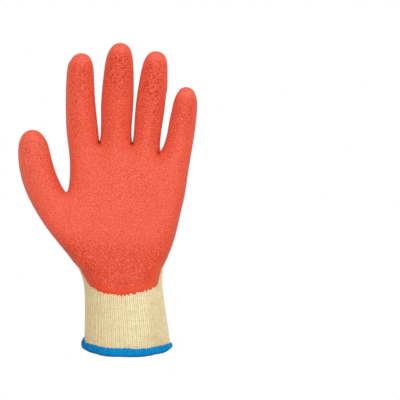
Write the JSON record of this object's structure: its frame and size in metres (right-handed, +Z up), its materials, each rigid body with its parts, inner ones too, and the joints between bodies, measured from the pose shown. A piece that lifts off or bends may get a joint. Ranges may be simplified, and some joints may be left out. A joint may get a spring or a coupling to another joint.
{
  "type": "latex coated grip glove",
  "caption": "Left-hand knitted work glove lying palm up, hollow, with a latex coat over the palm, fingers, thumb and knuckles, a bare knit cuff and back, and an overlocked hem.",
  "frame": {"origin": "under the middle of the glove's outline, on the surface that it lies on", "axes": "+Y from the cuff to the fingertips, +Z up out of the palm, +X from the thumb to the little finger"},
  "size_m": [0.1418, 0.2486, 0.0401],
  "materials": {
    "knit": "undyed cream knit with upright ribs of stitches, matt",
    "latex": "orange-red latex with a fine crinkle, satin",
    "hem_thread": "blue overlock thread, matt with a faint sheen"
  },
  "bodies": {
    "root": {"knit_liner": "knit", "latex_coating": "latex", "overlock_hem": "hem_thread"}
  },
  "joints": []
}
